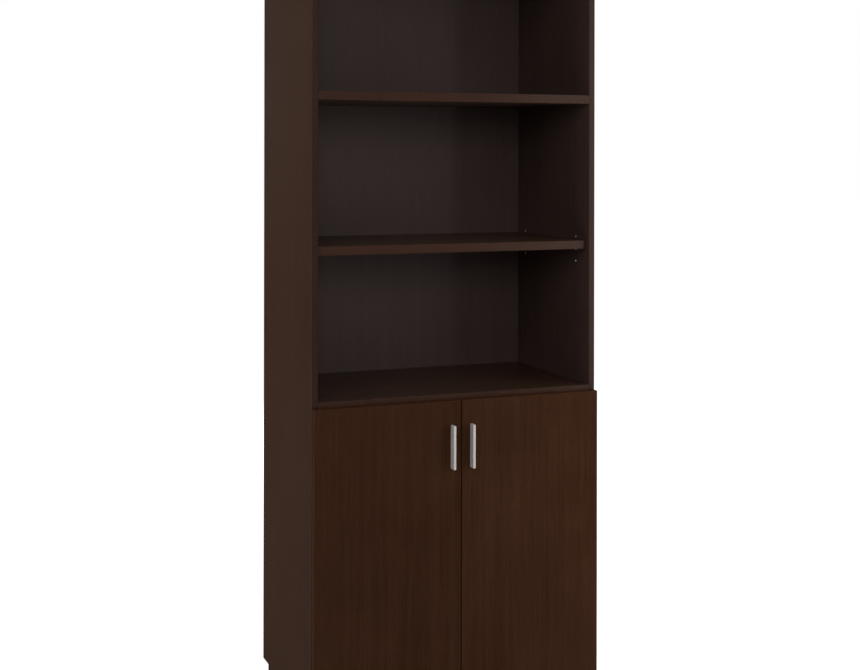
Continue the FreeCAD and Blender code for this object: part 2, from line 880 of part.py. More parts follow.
def main():
    os.makedirs("parts", exist_ok=True)
    nodes = {**carcass_nodes(), **fastener_nodes(), **shelf_nodes(), **door_nodes()}
    for name, pieces in nodes.items():
        solids = [solid for piece in pieces for solid in piece.Solids]
        shape = solids[0] if len(solids) == 1 else Part.makeCompound(solids)
        shape.exportStep("parts/" + name + ".step")
    print(len(nodes), "nodes")


main()
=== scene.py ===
"""Looks of the tall bookcase with a two-door cupboard: finishes, small parts, light and camera.

Lengths are in metres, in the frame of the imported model: +Z up, doors towards -Y.
"""

import functools
import json
import math
from collections import namedtuple

import bmesh
import bpy
from mathutils import Matrix, Quaternion, Vector

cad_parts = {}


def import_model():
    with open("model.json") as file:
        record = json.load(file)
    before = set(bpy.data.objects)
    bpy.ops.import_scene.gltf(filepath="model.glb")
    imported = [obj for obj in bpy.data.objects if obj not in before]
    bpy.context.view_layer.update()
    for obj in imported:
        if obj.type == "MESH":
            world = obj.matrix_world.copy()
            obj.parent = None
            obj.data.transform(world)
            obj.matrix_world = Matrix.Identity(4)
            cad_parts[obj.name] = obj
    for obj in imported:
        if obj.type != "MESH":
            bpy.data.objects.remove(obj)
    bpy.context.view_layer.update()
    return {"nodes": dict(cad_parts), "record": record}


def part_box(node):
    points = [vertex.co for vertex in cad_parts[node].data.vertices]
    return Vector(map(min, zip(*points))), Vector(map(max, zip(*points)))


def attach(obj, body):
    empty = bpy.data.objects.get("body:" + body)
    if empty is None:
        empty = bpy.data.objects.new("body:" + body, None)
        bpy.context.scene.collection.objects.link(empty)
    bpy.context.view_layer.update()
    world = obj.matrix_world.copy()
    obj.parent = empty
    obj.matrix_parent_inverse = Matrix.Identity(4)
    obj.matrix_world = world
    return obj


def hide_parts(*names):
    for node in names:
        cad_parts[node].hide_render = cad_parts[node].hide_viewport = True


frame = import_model()

MM = 0.001
AXES = "XYZ"
WHITE = (1.0, 1.0, 1.0)

# ---- camera, as worked out from the straight edges of the bookcase ------------------------
IMAGE_SIZE = (860, 670)
FOCAL_PIXELS = 1381.7
PRINCIPAL_POINT = (422.93, 152.01)
SENSOR_WIDTH = 36.0  # in millimetres, Blender's unit for it
CAMERA_PLACE = (-1.354, -3.3495, 1.453)
CAMERA_TURN = math.radians(21.74)
CAMERA_ROLL = math.radians(0.0925)

# ---- colours, linear ----------------------------------------------------------------------
# Each pair is the dark and the light tone of a print or a material.
DOOR_TONES = (0.0218, 0.0083, 0.0038), (0.0437, 0.0187, 0.0101)
DOOR_BAND_TONES = (0.026, 0.0094, 0.0044), (0.048, 0.0200, 0.0104)
# Darker than the doors' print, which is the same laminate: partly balancing the shelves' stronger
# gloss, partly painted shade for the insides of the bays.
SHELF_TONES_IN_SHADE = (0.0160, 0.0070, 0.0038), (0.0275, 0.0130, 0.0078)
PLAIN_TONES = (0.024, 0.0108, 0.0060), (0.040, 0.0192, 0.0116)
BAND_TONES = (0.018, 0.0068, 0.0036), (0.031, 0.0126, 0.0074)
# The laminate's own tones, made a little greyer than the doors' as a painted sheen.
SIDE_TONES_WITH_SHEEN = (0.031, 0.0142, 0.0078), (0.045, 0.0210, 0.0119)
# Greyer, lighter tones for the side panels' faces into the bookcase: a painted sheen.
INNER_SHEEN_TONES = (0.031, 0.0182, 0.0145), (0.045, 0.0275, 0.0228)
BACK_TONES = (0.0257, 0.0152, 0.0130), (0.0386, 0.0248, 0.0216)
HARDBOARD_TONES = (0.115, 0.058, 0.024), (0.185, 0.100, 0.045)
CHIP_TONES = (0.16, 0.088, 0.038), (0.46, 0.31, 0.17)
BEECH_TONES = (0.36, 0.20, 0.09), (0.56, 0.36, 0.19)
PULL_TONES = (0.313, 0.290, 0.276), (0.396, 0.370, 0.353)

# Boards and bands painted a little darker than their kind: painted shade where less light falls on
# them.
PAINTED_SHADES = {"door_left": 0.94, "side_edge_band_left": 0.75, "side_edge_band_right": 0.80}

# Plastics: dark tone, light tone and roughness.
PLASTICS = {
    "joiner_plastic": ((0.020, 0.011, 0.007), (0.027, 0.015, 0.010), 0.50),
    "glide_plastic": ((0.020, 0.016, 0.014), (0.032, 0.026, 0.023), 0.45),
    "catch_plastic": ((0.045, 0.024, 0.013), (0.060, 0.033, 0.019), 0.40),
    "clear_bumper": ((0.50, 0.50, 0.47), (0.60, 0.60, 0.57), 0.30),
}
# Plated steels: colour and roughness.
STEELS = {
    "nickel_steel": ((0.66, 0.63, 0.58), 0.26),
    "zinc_screws": ((0.68, 0.69, 0.70), 0.30),
}

# ---- gloss --------------------------------------------------------------------------------
# Most specular levels are low because gloss sees a white room from every side.
Gloss = namedtuple("Gloss", ("rough", "specular", "tint"))
PRINT_TINT = (1.0, 0.62, 0.44, 1.0)
SHELF_TINT = (1.0, 0.82, 0.74, 1.0)
BAND_TINT = (1.0, 0.95, 0.93, 1.0)
DOOR_GLOSS = Gloss(0.44, 0.004, PRINT_TINT)
CARCASS_GLOSS = Gloss(0.52, 0.003, PRINT_TINT)
SHELF_GLOSS = Gloss(0.34, 0.36, SHELF_TINT)
BAND_GLOSS = Gloss(0.28, 0.075, BAND_TINT)
DOOR_BAND_GLOSS = Gloss(0.44, 0.003, PRINT_TINT)

# ---- boards -------------------------------------------------------------------------------
# A board has the direction of its grain, the axis that its faces look along, and its looks.
# Only a side panel has inner sheen tones, for its face into the bookcase: greyer, lighter tones
# there are a painted sheen.
Board = namedtuple("Board", ("along", "faces", "tones", "gloss", "inner_tones"), defaults=(None,))
SIDE = Board("Z", "X", SIDE_TONES_WITH_SHEEN, CARCASS_GLOSS, INNER_SHEEN_TONES)
TOP = Board("X", "Z", PLAIN_TONES, CARCASS_GLOSS)
SHELF = Board("X", "Z", SHELF_TONES_IN_SHADE, SHELF_GLOSS)
RAIL = Board("X", "Y", PLAIN_TONES, CARCASS_GLOSS)
DOOR = Board("Z", "Y", DOOR_TONES, DOOR_GLOSS)
BOARDS = {
    "side_panel_left": SIDE,
    "side_panel_right": SIDE,
    "top_panel": TOP,
    "fixed_shelf": SHELF,
    "deck_panel": SHELF,
    "bottom_panel": SHELF,
    "adjustable_shelf_upper": SHELF,
    "adjustable_shelf_lower": SHELF,
    "kick_plate": RAIL,
    "rear_rail": RAIL,
    "door_left": DOOR,
    "door_right": DOOR,
}


# ---- node helpers -------------------------------------------------------------------------
class Nodes:
    """A tree of shader nodes under construction."""

    def __init__(self, tree):
        self.tree = tree

    def add(self, kind, inputs=None, **settings):
        """A new node, with values or links for its inputs and with its settings."""
        node = self.tree.nodes.new("ShaderNode" + kind)
        for name, value in settings.items():
            setattr(node, name, value)
        for key, value in (inputs or {}).items():
            self.put(node.inputs[key], value)
        return node

    def put(self, socket, value):
        """Links a socket to another one, or sets its own value."""
        if isinstance(value, bpy.types.NodeSocket):
            self.tree.links.new(value, socket)
        elif socket.type == "RGBA" and len(value) == 3:
            socket.default_value = (*value, 1.0)
        else:
            socket.default_value = value

    def math(self, operation, a, b=0.0):
        return self.add("Math", {0: a, 1: b}, operation=operation).outputs[0]

    def rest_of(self, share):
        """What is left of 1."""
        return self.math("SUBTRACT", 1.0, share)

    def weighted(self, *terms):
        """The sum of values, each given with its weight."""
        shares = [self.math("MULTIPLY", value, weight) for value, weight in terms]
        return functools.reduce(functools.partial(self.math, "ADD"), shares)


class Finish(Nodes):
    """A material under construction, with its Principled shader and the place on its piece."""

    NOISE_RANGE = (0.3, 0.7)  # holds nearly all of a noise texture's values

    def __init__(self, name):
        self.material = bpy.data.materials.new(name)
        self.material.use_nodes = True
        super().__init__(self.material.node_tree)
        self.shader = self.tree.nodes["Principled BSDF"]
        self.place = self.add("TexCoord").outputs["Object"]

    def set(self, **sockets):
        """Sets or links the shader's sockets, named with _ for a space."""
        for name, value in sockets.items():
            self.put(self.shader.inputs[name.replace("_", " ")], value)

    def bump(self, height, distance, strength):
        """Fine relief, as deep as the distance where the height is 1."""
        node = self.add("Bump", {"Height": height, "Distance": distance, "Strength": strength})
        self.put(self.shader.inputs["Normal"], node.outputs["Normal"])

    def vector(self, operation, a, b):
        return self.add("VectorMath", {0: a, 1: b}, operation=operation).outputs[0]

    def part(self, vector, axis):
        """One coordinate of a vector."""
        return self.add("SeparateXYZ", {0: vector}).outputs[AXES.index(axis)]

    def blend(self, factor, low, high):
        """A colour between low and high."""
        node = self.add("Mix", data_type="RGBA")
        self.put(node.inputs["Factor"], factor)
        self.put(node.inputs[6], low)
        self.put(node.inputs[7], high)
        return node.outputs[2]

    def between(self, value, low, high, to_low=0.0, to_high=1.0):
        """Maps low..high to to_low..to_high, clamped."""
        inputs = {"Value": value, "From Min": low, "From Max": high}
        inputs.update({"To Min": to_low, "To Max": to_high})
        return self.add("MapRange", inputs, clamp=True).outputs["Result"]

    def spread(self, noise, to_low=0.0, to_high=1.0):
        """Maps the usual range of noise to to_low..to_high."""
        return self.between(noise, *self.NOISE_RANGE, to_low, to_high)

    def noise(self, place, scale=1.0, detail=2.0, roughness=0.5):
        inputs = {"Vector": place, "Scale": scale, "Detail": detail, "Roughness": roughness}
        return self.add("TexNoise", inputs).outputs["Fac"]

    def drawn_noise(self, place, along, across_scale, along_scale, detail, roughness=0.5):
        """Noise with one scale along an axis and another across it."""
        scale = [across_scale] * 3
        scale[AXES.index(along)] = along_scale
        drawn = self.vector("MULTIPLY", place, tuple(scale))
        return self.noise(drawn, detail=detail, roughness=roughness)


# ---- patterns -----------------------------------------------------------------------------
# Layers of the wood-grain print: noise scale across the grain and along it, detail, and where it
# isn't the usual one, the noise's roughness.
SWAY = (14.0, 2.2, 1.0)
BROAD = (11.0, 0.55, 2.0)
BANDS = (75.0, 0.9, 2.0)
STREAKS = (360.0, 6.0, 3.0, 0.6)
PORES = (1300.0, 42.0, 1.0)
CLOUD_SCALE = 6.5
SWAY_WIDTH = 9.0 * MM
TONE_RANGE = (0.32, 0.68)
PORE_RANGE = (0.60, 0.74)
SEED_SHIFT = (1.37, 0.83, 2.11)  # metres from one board's place in the pattern to the next one's

CHIP_SCALE = 520.0
GRIT_SCALE = 1900.0
LAMINATE_SKIN = 0.35 * MM  # the printed sheet on a board's faces


def grain(finish, along, seed):
    """Tone (0 dark, 1 light) and pore depth of a fine straight-grained print."""
    place = finish.vector("ADD", finish.place, tuple(seed * shift for shift in SEED_SHIFT))
    sway = finish.math("SUBTRACT", finish.drawn_noise(place, along, *SWAY), 0.5)
    sway = finish.math("MULTIPLY", sway, SWAY_WIDTH)
    sideways = {i: sway for i in range(3) if AXES[i] != along}
    place = finish.vector("ADD", place, finish.add("CombineXYZ", sideways).outputs[0])
    broad = finish.drawn_noise(place, along, *BROAD)
    bands = finish.drawn_noise(place, along, *BANDS)
    streaks = finish.drawn_noise(place, along, *STREAKS)
    pores = finish.drawn_noise(place, along, *PORES)
    cloud = finish.noise(place, scale=CLOUD_SCALE)
    tone = finish.weighted((broad, 0.20), (bands, 0.20), (cloud, 0.22), (streaks, 0.38))
    return finish.between(tone, *TONE_RANGE), finish.between(pores, *PORE_RANGE)


def with_pores(finish, printed, pores, tones, strength, shade):
    """The print with its pores drawn, by so much, in a deeper shade of its dark tone."""
    deep = tuple(part * shade for part in tones[0])
    return finish.blend(finish.math("MULTIPLY", pores, strength), printed, deep)


def chipboard(finish):
    """Colour and height of pressed wood chips, as on the cut edges and in the bores of a board."""
    chips = finish.add("TexVoronoi", {"Vector": finish.place, "Scale": CHIP_SCALE})
    grit = finish.noise(finish.place, scale=GRIT_SCALE)
    shade = finish.weighted((finish.part(chips.outputs["Color"], "X"), 0.6), (grit, 0.4))
    return finish.blend(shade, *CHIP_TONES), shade


def skin_mask(finish, node, faces):
    """1 on the two broad faces of a board and 0 in what is cut through them."""
    low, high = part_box(node)
    axis = AXES.index(faces)
    at = finish.part(finish.place, faces)
    under = finish.math("LESS_THAN", at, low[axis] + LAMINATE_SKIN)
    over = finish.math("GREATER_THAN", at, high[axis] - LAMINATE_SKIN)
    return finish.math("MAXIMUM", under, over)


def upper_end_mask(finish, node):
    """1 on the upper end of a side panel, which is printed as its faces are."""
    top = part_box(node)[1].z
    return finish.math("GREATER_THAN", finish.part(finish.place, "Z"), top - MM)


def inward_sheen_mask(finish, node):
    """1 on the half of a side panel that is next to the inside of the bookcase, where the painted
    sheen goes.
    """
    low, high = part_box(node)
    middle = (low.x + high.x) / 2
    inward = "GREATER_THAN" if middle < 0 else "LESS_THAN"
    return finish.math(inward, finish.part(finish.place, "X"), middle)


# ---- finishes -----------------------------------------------------------------------------
# What the dark and the light tone of a pattern add to a finish's roughness.
PRINT_ROUGHER = (0.04, -0.03)
BAND_ROUGHER = (0.03, -0.03)
PLATING_ROUGHER = (0.08, -0.05)
DRAWING_MARK_ROUGHER = (0.0, 0.06)
PLASTIC_ROUGHER = (-0.05, 0.07)
PULL_CLOUD_ROUGHER = (-0.02, 0.03)
PORE_ROUGHER = 0.12

CHIPBOARD_ROUGH = 0.85
CHIP_RELIEF = 2.0  # how much deeper the chips' relief is than the print's
BARE_HARDBOARD_ROUGH, PRINTED_HARDBOARD_ROUGH = 0.72, 0.46
HARDBOARD_SPECULAR = 0.09
PLASTIC_SPECULAR = 0.12
PULL_ROUGH = (0.50, 0.60)
PULL_METALLIC = 0.20
PLATING_SHADE = 0.80  # of the plating's darker clouds
BEECH_ROUGH = 0.7
LEVEL_BAND_HEIGHT = 0.1  # a band that is lower than this runs level
LEVEL_BAND_SLOPE = (0.6, 0.8)  # from upright to level, as the height part of a surface's direction


def with_painted_shade(node, tones):
    """The tones of a kind of board or band, darkened by the node's painted shade."""
    return [tuple(part * PAINTED_SHADES.get(node, 1.0) for part in tone) for tone in tones]


def changed(rough, changes):
    """A roughness with what each tone of a pattern adds to it."""
    return [rough + change for change in changes]


def laminate(node, board, seed):
    """Printed wood-grain laminate on the faces of a board, raw chipboard on its bare edges."""
    finish = Finish("laminate_" + node)
    tones, gloss = with_painted_shade(node, board.tones), board.gloss
    tone, pores = grain(finish, board.along, seed)
    printed = finish.blend(tone, *tones)
    mask = skin_mask(finish, node, board.faces)
    # A side panel's face into the bookcase takes the greyer tones of a painted sheen.
    if board.inner_tones:
        inner = finish.blend(tone, *board.inner_tones)
        printed = finish.blend(inward_sheen_mask(finish, node), printed, inner)
        mask = finish.math("MAXIMUM", mask, upper_end_mask(finish, node))
    printed = with_pores(finish, printed, pores, tones, strength=0.45, shade=0.45)
    core, chips = chipboard(finish)
    bare = finish.rest_of(mask)
    rough = finish.between(tone, 0.0, 1.0, *changed(gloss.rough, PRINT_ROUGHER))
    rough = finish.math("ADD", rough, finish.math("MULTIPLY", pores, PORE_ROUGHER))
    finish.set(
        Base_Color=finish.blend(mask, core, printed),
        Roughness=finish.math("MAXIMUM", rough, finish.math("MULTIPLY", bare, CHIPBOARD_ROUGH)),
        Specular_IOR_Level=gloss.specular,
        Specular_Tint=gloss.tint,
    )
    print_relief = finish.math("MULTIPLY", finish.rest_of(pores), mask)
    chip_relief = finish.math("MULTIPLY", finish.math("MULTIPLY", chips, bare), CHIP_RELIEF)
    finish.bump(finish.math("ADD", print_relief, chip_relief), distance=0.05 * MM, strength=0.5)
    return finish.material


def band_grain(finish, node, seed):
    """Tone and pores of a band, its grain along its length."""
    low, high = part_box(node)
    if high.z - low.z < LEVEL_BAND_HEIGHT:
        return grain(finish, "X", seed)
    tone, pores = grain(finish, "Z", seed)
    if node.startswith("side"):
        return tone, pores
    # What is left is a door's four bands, one node: level above and below, upright at the sides.
    slope = finish.math("ABSOLUTE", finish.part(finish.add("TexCoord").outputs["Normal"], "Z"))
    level = finish.between(slope, *LEVEL_BAND_SLOPE)
    level_tone, _ = grain(finish, "X", seed)
    return finish.weighted((level_tone, level), (tone, finish.rest_of(level))), pores


def edge_band(node, tones, gloss, seed):
    """A plastic edge band, printed with grain along its length."""
    finish = Finish("band_" + node)
    tone, pores = band_grain(finish, node, seed)
    printed = finish.blend(tone, *tones)
    finish.set(
        Base_Color=with_pores(finish, printed, pores, tones, strength=0.25, shade=0.5),
        Roughness=finish.between(tone, 0.0, 1.0, *changed(gloss.rough, BAND_ROUGHER)),
        Specular_IOR_Level=gloss.specular,
        Specular_Tint=gloss.tint,
    )
    finish.bump(finish.rest_of(pores), distance=0.03 * MM, strength=0.4)
    return finish.material


def hardboard(node, seed):
    """Thin fibre board: a dark print on the front, bare pressed fibre behind."""
    finish = Finish("hardboard_" + node)
    tone, pores = grain(finish, "Z", seed)
    printed = finish.blend(tone, *BACK_TONES)
    fibre = finish.noise(finish.place, scale=900.0, detail=4.0, roughness=0.7)
    cloud = finish.noise(finish.place, scale=7.0, detail=3.0)
    shade = finish.weighted((fibre, 0.55), (cloud, 0.45))
    bare = finish.blend(finish.spread(shade), *HARDBOARD_TONES)
    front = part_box(node)[0].y
    mask = finish.math("LESS_THAN", finish.part(finish.place, "Y"), front + LAMINATE_SKIN)
    finish.set(
        Base_Color=finish.blend(mask, bare, printed),
        Roughness=finish.between(mask, 0.0, 1.0, BARE_HARDBOARD_ROUGH, PRINTED_HARDBOARD_ROUGH),
        Specular_IOR_Level=HARDBOARD_SPECULAR,
    )
    finish.bump(finish.blend(mask, fibre, pores), distance=0.04 * MM, strength=0.4)
    return finish.material


def aluminium(node):
    """Satin anodised aluminium, brushed along its length.

    Its metallic share is small because gloss sees a white room, in which full metal would show
    no difference between its front and its sides.
    """
    finish = Finish("aluminium_" + node)
    brush = finish.drawn_noise(finish.place, "Z", across_scale=5200.0, along_scale=55.0, detail=3.0)
    cloud = finish.noise(finish.place, scale=160.0)
    brushed = finish.spread(brush, *PULL_ROUGH)
    finish.set(
        Base_Color=finish.blend(brush, *PULL_TONES),
        Metallic=PULL_METALLIC,
        Roughness=finish.math("ADD", brushed, finish.spread(cloud, *PULL_CLOUD_ROUGHER)),
    )
    finish.bump(brush, distance=0.01 * MM, strength=0.35)
    return finish.material


def plated_steel(name, light, rough):
    """Bright plated steel with faint drawing marks and a cloudy plating."""
    finish = Finish(name)
    cloud = finish.noise(finish.place, scale=420.0, detail=3.0)
    marks = finish.drawn_noise(finish.place, "Z", across_scale=900.0, along_scale=5000.0, detail=2.0)
    dark = tuple(part * PLATING_SHADE for part in light)
    clouded = finish.spread(cloud, *changed(rough, PLATING_ROUGHER))
    finish.set(
        Base_Color=finish.blend(finish.spread(cloud), dark, light),
        Metallic=1.0,
        Roughness=finish.math("ADD", clouded, finish.spread(marks, *DRAWING_MARK_ROUGHER)),
    )
    finish.bump(marks, distance=0.008 * MM, strength=0.3)
    return finish.material


def moulded_plastic(name, dark, light, rough):
    """Injection-moulded plastic with a fine spark-eroded texture."""
    finish = Finish(name)
    texture = finish.noise(finish.place, scale=2600.0)
    cloud = finish.noise(finish.place, scale=60.0)
    finish.set(
        Base_Color=finish.blend(finish.spread(cloud), dark, light),
        Roughness=finish.spread(texture, *changed(rough, PLASTIC_ROUGHER)),
        Specular_IOR_Level=PLASTIC_SPECULAR,
    )
    finish.bump(texture, distance=0.02 * MM, strength=0.4)
    return finish.material


def beech():
    """Plain beech, as the dowels are of."""
    finish = Finish("beech")
    fine = finish.drawn_noise(finish.place, "X", across_scale=1500.0, along_scale=60.0, detail=3.0)
    finish.set(
        Base_Color=finish.blend(finish.spread(fine), *BEECH_TONES),
        Roughness=BEECH_ROUGH,
    )
    finish.bump(fine, distance=0.03 * MM, strength=0.5)
    return finish.material


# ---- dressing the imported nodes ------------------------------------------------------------
@functools.cache
def shared_finishes():
    """The materials that are the same on every piece of their slot."""
    finishes = {slot: moulded_plastic(slot, *look) for slot, look in PLASTICS.items()}
    finishes.update({slot: plated_steel(slot, *look) for slot, look in STEELS.items()})
    finishes["beech_dowel"] = beech()
    return finishes


def finish_of(node, slot, seed):
    """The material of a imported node."""
    if node in BOARDS:
        return laminate(node, BOARDS[node], seed)
    if slot == "edge_band":
        return edge_band(node, with_painted_shade(node, BAND_TONES), BAND_GLOSS, seed)
    if slot == "door_edge_band":
        return edge_band(node, DOOR_BAND_TONES, DOOR_BAND_GLOSS, seed)
    if slot == "back_hardboard":
        return hardboard(node, seed)
    if slot == "pull_aluminium":
        return aluminium(node)
    return shared_finishes()[slot]


def dress_nodes():
    """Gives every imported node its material."""
    slots = {row["node"]: row["material_slot"] for row in frame["record"]["subparts"]}
    for seed, (node, slot) in enumerate(sorted(slots.items())):
        materials = frame["nodes"][node].data.materials
        materials.clear()
        materials.append(finish_of(node, slot, seed))


# ---- small parts that stand for the plain packed ones -------------------------------------
WELD = 0.001 * MM
SHARP_ANGLE = math.radians(35)
BEVEL_ANGLE = math.radians(40)
TURNED_SIDES = 24
DOME_STEPS = 4
DOME_STEP_ANGLE = math.pi / 10
PUNCH_FOOT, PUNCH_HEAD = 0.55, 1.1  # shares of the recess's arm and slot at a punch's two ends

WOOD_SCREW_HEAD = 1.2 * MM
MACHINE_SCREW_HEAD = 2.4 * MM
THREAD_PITCH = 1.6 * MM
THREAD_CORE = 0.76  # the share of the shank's radius that is under the thread
ADJUSTER_RADIUS = 2.6 * MM
ADJUSTER_HEAD = 1.0 * MM
ADJUSTER_LENGTH = 3.0 * MM  # under its head
ADJUSTER_FROM_END = 28 * MM

CAM_RECESS_DEPTH = 2.6 * MM
CAM_FACE_DROP = 0.3 * MM
CAM_RIM_EDGE = 0.4 * MM
CAM_FOOT_EDGE = 0.2 * MM

PIN_PITCH = 32 * MM
PIN_COLLAR_DROP = 3.6 * MM  # from the lowest point of a shelf pin to the middle of its hole
EYELET_BORE = 2.42 * MM
EYELET_SLEEVE = 2.48 * MM
EYELET_RIM = 3.2 * MM
EYELET_LIP = 0.4 * MM
EYELET_DEPTH = 5 * MM

# How much further each next part is turned, in radians, so that the recesses don't line up.
SCREW_TURN = 0.7
CAM_TURN = 0.5
FIRST_ADJUSTER_TURN, ADJUSTER_TURN = 0.4, 1.0

# Screws: the height of their heads, and the way that the heads face (None is into the bookcase).
SCREWS = {
    "hinge_plate_screws": (WOOD_SCREW_HEAD, None),
    "hinge_clamp_screws": (MACHINE_SCREW_HEAD, None),
    "hinge_cup_screws_left": (WOOD_SCREW_HEAD, (0, 1, 0)),
    "hinge_cup_screws_right": (WOOD_SCREW_HEAD, (0, 1, 0)),
    "door_pull_screws_left": (MACHINE_SCREW_HEAD, (0, 1, 0)),
    "door_pull_screws_right": (MACHINE_SCREW_HEAD, (0, 1, 0)),
    "door_catch_screws": (WOOD_SCREW_HEAD, (0, 0, -1)),
}

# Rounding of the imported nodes' sharp edges, by the start of their names.
SOFTENED = {
    0.4 * MM: ("door_pull_left", "door_pull_right", "shelf_pins"),
    0.3 * MM: ("hinge_plate_low", "hinge_plate_high"),
    0.25 * MM: ("hinge_arm", "catch_strike"),
    0.2 * MM: ("hinge_cup_low", "hinge_cup_high"),
}
CATCH_ROUNDING = 0.3 * MM
POLE_PROUD = 0.2 * MM  # faces of the catch that are further in front of the deck are its poles


def loose_parts(node):
    """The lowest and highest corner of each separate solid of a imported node."""
    mesh = bmesh.new()
    mesh.from_mesh(frame["nodes"][node].data)
    bmesh.ops.remove_doubles(mesh, verts=mesh.verts, dist=WELD)
    left = set(mesh.verts)
    found = []
    while left:
        reached = [left.pop()]
        for vert in reached:
            for other in (edge.other_vert(vert) for edge in vert.link_edges):
                if other in left:
                    left.remove(other)
                    reached.append(other)
        low = Vector([min(vert.co[i] for vert in reached) for i in range(3)])
        high = Vector([max(vert.co[i] for vert in reached) for i in range(3)])
        found.append((low, high))
    mesh.free()
    return sorted(found, key=lambda part: tuple(part[0]))


def turned(profile):
    """A solid turned round Z from (radius, height) points, its lowest point first.

    A point on the axis makes a ring of one corner, and triangles beside it.
    """
    solid = bmesh.new()
    rings = []
    for radius, height in profile:
        turns = [2 * math.pi * i / TURNED_SIDES for i in range(TURNED_SIDES if radius > 0 else 1)]
        points = [(radius * math.cos(turn), radius * math.sin(turn), height) for turn in turns]
        rings.append([solid.verts.new(point) for point in points])
    for low, high in zip(rings, rings[1:]):
        for i in range(TURNED_SIDES):
            corners = [low[i % len(low)], low[(i + 1) % len(low)]]
            corners += [high[(i + 1) % len(high)], high[i % len(high)]]
            solid.faces.new(list(dict.fromkeys(corners)))
    bmesh.ops.remove_doubles(solid, verts=solid.verts, dist=WELD)
    bmesh.ops.recalc_face_normals(solid, faces=solid.faces)
    return solid


def domed(radius, height, rim):
    """The points of a dome's profile, from its straight rim, a share of its height, to its top."""
    points = [(radius, rim * height)]
    for step in range(1, DOME_STEPS + 1):
        rise = step * DOME_STEP_ANGLE
        points.append((radius * math.cos(rise), height * (rim + (1 - rim) * math.sin(rise))))
    return points + [(0, height)]


def cross_punch(arm, slot, depth, top):
    """The cutter of a driver's cross recess, narrower at its lower end."""
    punch = bmesh.new()
    rings = []
    for width, height in ((PUNCH_FOOT, top - depth), (PUNCH_HEAD, top + depth)):
        a, s = arm * width, slot * width
        corners = [(a, -s), (a, s), (s, s)]
        ring = []
        for _ in range(4):
            ring += [punch.verts.new((x, y, height)) for x, y in corners]
            corners = [(-y, x) for x, y in corners]
        rings.append(ring)
    low, high = rings
    for i in range(len(low)):
        j = (i + 1) % len(low)
        punch.faces.new((low[i], low[j], high[j], high[i]))
    punch.faces.new(low[::-1])
    punch.faces.new(high)
    bmesh.ops.recalc_face_normals(punch, faces=punch.faces)
    return punch


def as_mesh(solid, name):
    """A mesh of what was modelled, which is freed."""
    mesh = bpy.data.meshes.new(name)
    solid.to_mesh(mesh)
    solid.free()
    return mesh


def in_scene(name, data):
    """A new object in the scene."""
    item = bpy.data.objects.new(name, data)
    bpy.context.scene.collection.objects.link(item)
    return item


def recessed(solid, punch):
    """The solid's mesh with the punch driven into it."""
    whole = in_scene("solid", as_mesh(solid, "solid"))
    cutter = in_scene("punch", as_mesh(punch, "punch"))
    cut = whole.modifiers.new("recess", "BOOLEAN")
    cut.operation = "DIFFERENCE"
    cut.object = cutter
    shaped = whole.evaluated_get(bpy.context.evaluated_depsgraph_get())
    mesh = bpy.data.meshes.new_from_object(shaped)
    for item in (whole, cutter):
        bpy.data.objects.remove(item)
    return mesh


def screw_mesh(head_radius, head_height, length):
    """A screw on z = 0: a domed head with a cross recess above, and a threaded shank below."""
    shank = head_radius / 2
    core = THREAD_CORE * shank
    profile = [(0, -length), (0.4 * shank, shank - length)]
    threads = int((length - 2 * shank) / THREAD_PITCH)
    for i in range(threads):
        low = 1.3 * shank - length + i * THREAD_PITCH
        profile += [(core, low), (shank, low + THREAD_PITCH / 2)]
    profile += [(core, 0), (0.97 * head_radius, 0)]
    profile += domed(head_radius, head_height, rim=0.12)
    arm, slot = 0.55 * head_radius, 0.13 * head_radius
    return recessed(turned(profile), cross_punch(arm, slot, 0.75 * head_height, head_height))


def cam_mesh(radius, depth):
    """A cam lock's drum: a rimmed face with a cross recess on z = 0, and a waist for the bolt."""
    waist = 0.86 * radius
    profile = [
        (0, -depth), (0.97 * radius, -depth), (radius, CAM_FOOT_EDGE - depth),
        (radius, -0.72 * depth), (waist, -0.68 * depth), (waist, -0.34 * depth),
        (radius, -0.30 * depth), (radius, -CAM_RIM_EDGE), (0.96 * radius, 0), (0.90 * radius, 0),
        (0.87 * radius, -CAM_FACE_DROP), (0, -CAM_FACE_DROP),
    ]
    arm, slot = 0.55 * radius, 0.11 * radius
    return recessed(turned(profile), cross_punch(arm, slot, CAM_RECESS_DEPTH, 0))


def bumper_mesh(radius, height):
    """A soft bumper: a low dome on a straight rim."""
    profile = [(0, 0), (radius, 0)] + domed(radius, height, rim=0.3)
    return as_mesh(turned(profile), "bumper")


def glide_mesh(radius, foot, length):
    """A nail-on glide: a rounded foot under a nail."""
    nail = 0.17 * radius
    profile = [
        (0, 0), (0.78 * radius, 0), (0.93 * radius, 0.08 * foot), (radius, 0.3 * foot),
        (radius, 0.75 * foot), (0.92 * radius, foot), (nail, foot), (nail, length - 2 * nail),
        (0, length),
    ]
    return as_mesh(turned(profile), "glide")


def eyelet_mesh():
    """A thin sleeve for a pin hole, with a rounded lip above z = 0."""
    profile = [
        (EYELET_BORE, -EYELET_DEPTH), (EYELET_SLEEVE, -EYELET_DEPTH), (EYELET_SLEEVE, 0),
        (EYELET_RIM, 0), (EYELET_RIM, 0.5 * EYELET_LIP), (0.93 * EYELET_RIM, EYELET_LIP),
        (0.82 * EYELET_RIM, EYELET_LIP), (EYELET_BORE, 0.4 * EYELET_LIP),
        (EYELET_BORE, -EYELET_DEPTH),
    ]
    return as_mesh(turned(profile), "eyelet")


def seated(part, toward, above, turn=0.0):
    """The move that turns a mesh's +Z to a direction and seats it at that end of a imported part.

    The mesh rises above its z = 0 by so much, and its top comes to where the part ends.
    """
    low, high = part
    toward = Vector(toward)
    head_end = (low + high) / 2 + toward * abs((high - low).dot(toward)) / 2
    turning = toward.to_track_quat("Z", "Y") @ Quaternion((0, 0, 1), turn)
    return Matrix.Translation(head_end - toward * above) @ turning.to_matrix().to_4x4()


